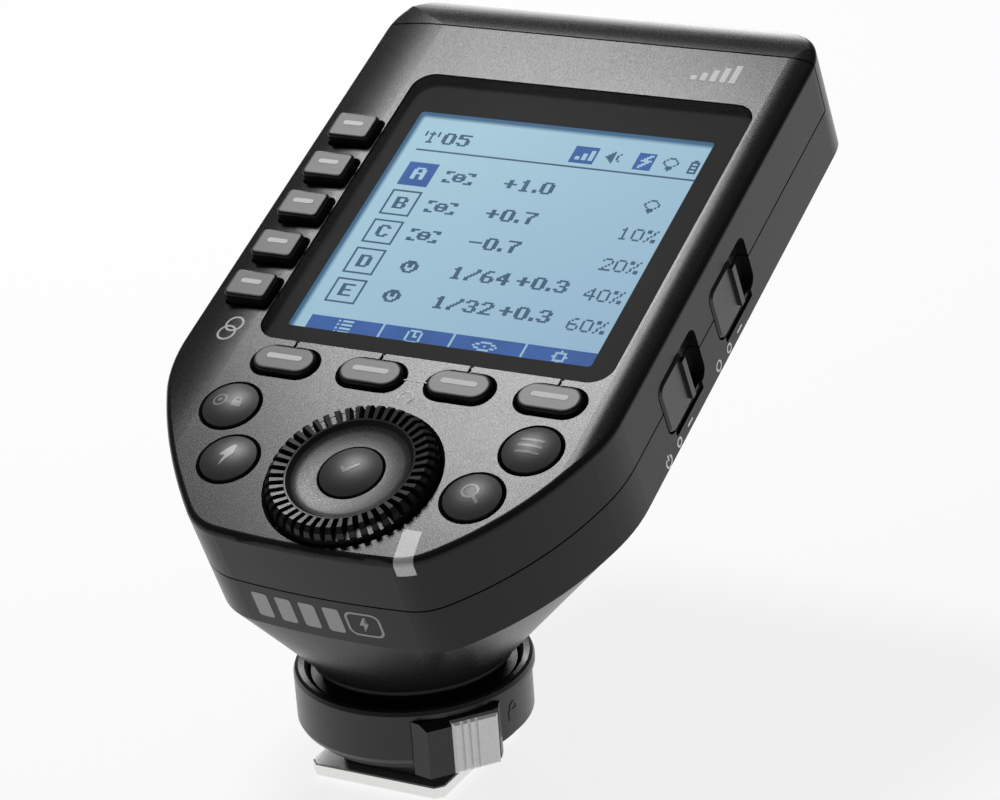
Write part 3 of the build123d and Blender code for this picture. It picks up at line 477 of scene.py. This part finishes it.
for letter in "abcde":
    key = "group_button_" + letter
    mark_key("bar_" + key, key, [patch(round_box(0, 0.3, 2.9, 0.75, 0.36))], KEY_BAR)
for number in range(1, 5):
    key = "function_button_%d" % number
    mark_key("bar_" + key, key, [patch(round_box(0, 0.2, 4.9, 0.8, 0.39))], KEY_BAR)

wheel = [ring(-1.25, 0.05, 0.85, 0.28), disc(-1.25, 0.05, 0.3)]
mark_key("mark_mode", "mode_button", padlock(1.15, 0.1, 0.85) + wheel, PRINT_DIM)
mark_key("mark_test", "test_button", [bolt(0, 0, 1.75)], PRINT)
lines = [patch(round_box(0, step, 3.2, 0.38, 0.18)) for step in (-0.95, 0, 0.95)]
mark_key("mark_menu", "menu_button", lines, PRINT_DIM)
lens_mark = [ring(-0.2, 0.3, 0.95, 0.34), ribbon([(0.55, -0.45), (1.35, -1.25)], 0.42)]
mark_key("mark_zoom", "zoom_button", lens_mark, PRINT_DIM)
tick = [ribbon([(-1.0, 0.0), (-0.3, -0.7), (1.1, 0.8)], 0.36)]
mark_key("mark_set", "set_button", tick, PRINT_DIM)

# Marks on the front face.
linked = [ring(-0.8, 0, 1.15, 0.28), ring(0.8, 0, 1.15, 0.28)]
below_group = on_panel(middle_of("group_button_e")[0] + 0.1, panel_box("group_button_e")[0].y - 3.6, 75)
lay("mark_group", linked, below_group, PRINT, "housing", "front_shell")

key_x = (middle_of("function_button_2")[0] + middle_of("function_button_3")[0]) / 2
key_y = middle_of("function_button_2")[1]
bracket = [ribbon([(-1.6, 0), (1.6, 0)], 0.14), ribbon([(0, -0.07), (0, -1.25)], 0.14)]
turn_back = [ribbon(arc(0.0, -2.75, 0.95, -60, 210, 18), 0.24),
             patch([(0.05, -3.05), (0.9, -3.75), (1.0, -2.85)])]
lay("mark_reset", bracket + turn_back, on_panel(key_x, key_y), PRINT, "housing", "front_shell")

SIGNAL_PLACE = (16.5, 72.6)
SIGNAL_STEP, SIGNAL_WIDE, SIGNAL_LOW, SIGNAL_GROWTH = 1.35, 0.85, 0.9, 0.62
bars = []
for i in range(5):
    tall = SIGNAL_LOW + SIGNAL_GROWTH * i
    bars.append(patch(round_box(SIGNAL_STEP * i, tall / 2, SIGNAL_WIDE, tall, 0.12)))
lay("mark_signal", bars, on_panel(*SIGNAL_PLACE), PRINT, "housing", "front_shell")

# The mark on the chin: across the panel's x, with the front face upwards.
CHIN_Y, CHIN_ROW = -12.0, -12.0
BADGE_X = 6.4
CHIN = PANEL @ Matrix.Translation((0, CHIN_Y * MM, 0)) @ Matrix.Rotation(math.pi / 2, 4, "X") @ MARK_SCALE
chin_mark = [patch(round_box(-7.6 + 3.3 * i, CHIN_ROW, 2.2, 4.2, 0.4)) for i in range(4)]
chin_mark.append(ribbon(round_box(BADGE_X, CHIN_ROW, 4.4, 3.8, 1.0), 0.32, closed=True))
chin_mark.append(bolt(BADGE_X, CHIN_ROW, 1.3))
lay("mark_chin", chin_mark, CHIN, PRINT_DIM, "housing", "rear_shell")


# Marks on the right wall: along the panel's y, with the front face upwards.
WALL_TURN = Matrix(((0, 0, 1, 0), (1, 0, 0, 0), (0, 1, 0, 0), (0, 0, 0, 1)))
WALL = PANEL @ WALL_TURN @ MARK_SCALE @ Matrix.Translation((0, 0, panel_box("rear_shell")[1].x))
WALL_ROW = -14.75


def switch_marks(name, icon):
    """A switch's sign, then a ring and a bar for its two ends."""
    start = panel_box(name + "_switch_knob")[0].y - 1.4
    shapes = icon(start - 0.6, WALL_ROW)
    shapes.append(ring(start + 2.7, WALL_ROW, 0.55, 0.26))
    shapes.append(patch(round_box(start + 6.1, WALL_ROW, 1.5, 0.34, 0.15)))
    lay("mark_" + name, shapes, WALL, PRINT_WHITE, "housing", "rear_shell")


def power_icon(x, y):
    return [ribbon(arc(x, y, 0.75, 120, 420, 18), 0.26), patch(round_box(x, y + 0.6, 0.26, 0.95, 0.12))]


def bulb_icon(x, y):
    return [ring(x, y + 0.2, 0.65, 0.24), patch(round_box(x, y - 0.95, 0.65, 0.35, 0.1))]


switch_marks("power", power_icon)
switch_marks("af", bulb_icon)


COLLAR_AZIMUTH = math.radians(84)
COLLAR_OUT, COLLAR_UP = 15.0, 8.6
COLLAR = Matrix.Rotation(COLLAR_AZIMUTH, 4, "Z")
COLLAR = COLLAR @ Matrix.Translation((0, -COLLAR_OUT * MM, COLLAR_UP * MM))
COLLAR = COLLAR @ Matrix.Rotation(math.pi / 2, 4, "X") @ MARK_SCALE
COLLAR_COAT = MATERIALS["collar_black"]
lay("mark_lock", padlock(0, 0, 1.3), COLLAR, COLLAR_COAT, "housing", "lock_collar", high=0.09)


# ---------------------------------------------------------------- the dots of the screen
LETTERS = {
    "A": ".###. #...# #...# ##### #...# #...# #...#",
    "B": "####. #...# #...# ####. #...# #...# ####.",
    "C": ".###. #...# #.... #.... #.... #...# .###.",
    "D": "####. #...# #...# #...# #...# #...# ####.",
    "E": "##### #.... #.... ####. #.... #.... #####",
    "0": ".###. #...# #...# #...# #...# #...# .###.",
    "1": "..#.. .##.. ..#.. ..#.. ..#.. ..#.. .###.",
    "2": ".###. #...# ....# ...#. ..#.. .#... #####",
    "3": ".###. #...# ....# ..##. ....# #...# .###.",
    "4": "...#. ..##. .#.#. #..#. ##### ...#. ...#.",
    "5": "##### #.... ####. ....# ....# #...# .###.",
    "6": "..##. .#... #.... ####. #...# #...# .###.",
    "7": "##### ....# ...#. ..#.. ..#.. ..#.. ..#..",
    "+": "..... ..#.. ..#.. ##### ..#.. ..#.. .....",
    "-": "..... ..... ..... ##### ..... ..... .....",
    "/": "....# ....# ...#. ..#.. .#... #.... #....",
    "%": "##..# ##.#. ...#. ..#.. .#... .#.## #..##",
    ".": ". . . . . # #",
}
ICONS = {
    "signal": "......... .......## .......## ....##.## ....##.## .##.##.## .##.##.## .........",
    "speaker": "...#... ..##..# .###.#. ####.#. .###.#. ..##..# ...#...",
    "bolt": "....## ...##. ..##.. .##### ...##. ..##.. .##... .#....",
    "bulb": "..###.. .#...#. #.....# #.....# .#...#. ..###.. ..###.. ...#...",
    "cell": ".##. #### #..# #### #..# #### #..# ####",
    "aerial": "#..#..# #.###.# #..#..# ...#... ...#... ...#... ..###..",
    "metered": "###.......### #....###....# ....#...#.... ....#.#.#.... "
               "....#...#.... #....###....# ###.......###",
    "knob": "..###.. .#.#.#. #..#..# #..#..# #.....# .#...#. ..###..",
    "list": "#.##### ....... #.##### ....... #.##### ....... #.#####",
    "clock": ".#####. #..#..# #..#..# #..##.# #.....# #.....# .#####.",
    "eye": "........... ...#####... .##.....##. #....#....# .##.....##. ...#####... ...........",
    "gear": "...#... .#####. .#...#. ##...## .#...#. .#####. ...#...",
}
PITCH = 0.307
GAP = 0.04 * PITCH
DOT_SINK, DOT_RISE = 0.02, 0.03
COLUMNS, ROWS = 129, 122
SCREEN_LEFT, SCREEN_TOP = -16.35, 60.6
SCREEN_Z = panel_box("lcd_panel")[1].z
# Where the screen's content stands on the panel.
EDGE_LEFT, EDGE_RIGHT = -16.2, 23.2
HEADER_Y, RULE_Y = 60.0, 56.65
HEADER_ICONS = (("signal", 5.6), ("speaker", 9.8), ("bolt", 14.3), ("bulb", 17.8), ("cell", 21.5))
LIT_ICONS = ("signal", "bolt")
ROW_TOP, ROW_STEP = 54.22, 17.5 * PITCH
ROW_VALUES = ("+1.0", "+0.7", "-0.7", "1/64", "1/32")
CELL_LEFT, CELL_RIGHT, CELL_TALL = -16.1, -11.6, 4.5
LETTER_X, METER_X, KNOB_X, VALUE_X, TRIM_X = -14.9, -10.1, -8.6, -1.7, 7.7
TEXT_DROP = 1.1
LAMP_X, SHARE_X = 18.3, 17.0
SHARE_TOP, SHARE_STEP = 52.3, 5.3
FOOTER_TOP, FOOTER_LOW, FOOTER_RIGHT = 26.0, 23.25, 23.1
FOOTER_SPLITS = (-6.3, 3.55, 13.45)
FOOTER_ICONS = (("list", -12.4), ("clock", -2.5), ("eye", 6.8), ("gear", 17.4))
FOOTER_DROP = 0.3


def cell_of(x, y):
    """The column and row of the dot whose upper left corner is nearest to a point of the panel."""
    return round((x - SCREEN_LEFT) / PITCH), round((SCREEN_TOP - y) / PITCH)


def draw(grid, pattern, x, y, value=True, bold=False):
    """Sets the dots of a pattern whose upper left corner is at (x, y). Returns the next free x."""
    column, row = cell_of(x, y)
    lines = pattern.split()
    for i, line in enumerate(lines):
        for j, mark in enumerate(line):
            if mark == "#":
                grid[row + i, column + j:column + j + 1 + bold] = value
    return x + (len(lines[0]) + 1 + bold) * PITCH


def write(grid, text, x, y, **how):
    for letter in text:
        x = draw(grid, LETTERS[letter], x, y, **how)


def fill(grid, x0, y_top, x1, y_low, value=True):
    left, top = cell_of(x0, y_top)
    right, low = cell_of(x1, y_low)
    grid[top:low, left:right] = value


def outline(grid, x0, y_top, x1, y_low):
    fill(grid, x0, y_top, x1, y_low)
    fill(grid, x0 + PITCH, y_top - PITCH, x1 - PITCH, y_low + PITCH, False)


def screen_grids():
    """Which dots are dark in the text, and which in the filled blue cells."""
    text = np.zeros((ROWS, COLUMNS), bool)
    blue = np.zeros((ROWS, COLUMNS), bool)
    draw(text, ICONS["aerial"], -16.3, HEADER_Y)
    write(text, "05", -13.6, HEADER_Y, bold=True)
    fill(text, EDGE_LEFT, RULE_Y, EDGE_RIGHT, RULE_Y - 0.3)
    for icon, x in HEADER_ICONS:
        if icon in LIT_ICONS:
            wide = len(ICONS[icon].split()[0]) * PITCH
            fill(blue, x - PITCH, HEADER_Y + 0.3, x + wide + PITCH, HEADER_Y - 2.8)
            draw(blue, ICONS[icon], x, HEADER_Y, value=False)
        else:
            draw(text, ICONS[icon], x, HEADER_Y - 0.1)
    for row, (letter, value) in enumerate(zip("ABCDE", ROW_VALUES)):
        top = ROW_TOP - ROW_STEP * row
        line = top - TEXT_DROP
        if letter == "A":
            fill(blue, CELL_LEFT, top, CELL_RIGHT, top - CELL_TALL)
            draw(blue, LETTERS[letter], LETTER_X, line, value=False, bold=True)
        else:
            outline(text, CELL_LEFT, top, CELL_RIGHT, top - CELL_TALL)
            draw(text, LETTERS[letter], LETTER_X, line, bold=True)
        write(text, value, VALUE_X, line, bold=True)
        if letter in "ABC":
            draw(text, ICONS["metered"], METER_X, line, bold=True)
        else:
            draw(text, ICONS["knob"], KNOB_X, line, bold=True)
            write(text, "+0.3", TRIM_X, line, bold=True)
    draw(text, ICONS["bulb"], LAMP_X, SHARE_TOP)
    for row, label in enumerate(("10%", "20%", "40%", "60%"), start=1):
        write(text, label, SHARE_X, SHARE_TOP - SHARE_STEP * row)
    fill(blue, EDGE_LEFT, FOOTER_TOP, FOOTER_RIGHT, FOOTER_LOW)
    for divider in FOOTER_SPLITS:
        fill(blue, divider, FOOTER_TOP, divider + PITCH, FOOTER_LOW, False)
    for icon, x in FOOTER_ICONS:
        draw(blue, ICONS[icon], x, FOOTER_TOP - FOOTER_DROP, value=False)
    return text, blue


def dots(name, grid, coat):
    """One thin closed box for every dark dot."""
    verts, faces = [], []
    sides = ((3, 2, 1, 0), (4, 5, 6, 7), (0, 1, 5, 4), (1, 2, 6, 5), (2, 3, 7, 6), (3, 0, 4, 7))
    for row, column in zip(*np.nonzero(grid)):
        left = SCREEN_LEFT + column * PITCH + GAP
        right = left + PITCH - 2 * GAP
        top = SCREEN_TOP - row * PITCH - GAP
        low = top - PITCH + 2 * GAP
        start = len(verts)
        for z in (SCREEN_Z - DOT_SINK, SCREEN_Z + DOT_RISE):
            for x, y in ((left, low), (right, low), (right, top), (left, top)):
                verts.append(PANEL @ Vector((x * MM, y * MM, z * MM)))
        faces += [tuple(start + i for i in side) for side in sides]
    piece(name, verts, faces, coat, "housing")


DISC_STEPS = 96
DISC_HOLE, DISC_OVERLAP = 4.1, 0.7
DISC_CREASE = math.radians(35)


def dial_disc():
    """The dial's grained disc, dished so that its rim meets the ribs, in place of the plain CAD disc."""
    low, high = panel_box("dial_face")
    cx, cy = middle_of("dial_face")
    inner, outer = DISC_HOLE, (high.x - low.x) / 2 + DISC_OVERLAP
    profile = [(inner, low.z), (inner, high.z - 0.1), (inner + 0.12, high.z), (6.4, high.z + 0.06),
               (7.3, high.z + 0.34), (outer, high.z + 0.86), (outer, high.z - 0.2), (7.2, low.z)]
    verts, faces = [], []
    for i in range(DISC_STEPS):
        angle = 2 * math.pi * i / DISC_STEPS
        for radius, z in profile:
            x, y = cx + radius * math.cos(angle), cy + radius * math.sin(angle)
            verts.append(PANEL @ Vector((x * MM, y * MM, z * MM)))
    size = len(profile)
    for i in range(DISC_STEPS):
        here, there = i * size, (i + 1) % DISC_STEPS * size
        for k in range(size):
            after = (k + 1) % size
            faces.append((here + k, here + after, there + after, there + k))
    disc_piece = piece("dial_disc", verts, faces, MATERIALS["dial_grain"], "dial")
    for face in disc_piece.data.polygons:
        face.use_smooth = True
    disc_piece.data.set_sharp_from_angle(angle=DISC_CREASE)
    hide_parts("dial_face")


dial_disc()

text_grid, blue_grid = screen_grids()
dots("screen_text", text_grid, glowing("lcd_text", (0.035, 0.085, 0.15), 0.65))
dots("screen_cells", blue_grid, glowing("lcd_cell", (0.02, 0.075, 0.25), 0.8))


# The opening of the print, and where the print lies above the window's back.
OPENING_MIDDLE = (2.45, 43.1)
OPENING_SIZE = (41.8, 39.8)
OPENING_CORNER, MASK_CORNER, MASK_MARGIN = 0.5, 2.8, 0.1
MASK_LOW, MASK_HIGH = 0.01, 0.06


def window_mask():
    """The black print on the back of the window, around the screen."""
    low, high = panel_box("screen_window")
    wide, tall = high.x - low.x - MASK_MARGIN, high.y - low.y - MASK_MARGIN
    inner = round_box(*OPENING_MIDDLE, *OPENING_SIZE, OPENING_CORNER)
    outer = round_box(*middle_of("screen_window"), wide, tall, MASK_CORNER)
    coat = moulded("mask_print", (0.018, 0.0175, 0.0175), 0.5, speckle=0.1, Specular_IOR_Level=0.02)
    count = len(inner)
    verts = []
    for z in (low.z + MASK_LOW, low.z + MASK_HIGH):
        for x, y in inner + outer:
            verts.append(PANEL @ Vector((x * MM, y * MM, z * MM)))
    faces = []
    for i in range(count):
        j = (i + 1) % count
        faces.append((i, j, count + j, count + i))
        faces.append((2 * count + i, 3 * count + i, 3 * count + j, 2 * count + j))
        faces.append((i, 2 * count + i, 2 * count + j, j))
        faces.append((count + i, count + j, 3 * count + j, 3 * count + i))
    piece("window_mask", verts, faces, coat, "housing")


window_mask()
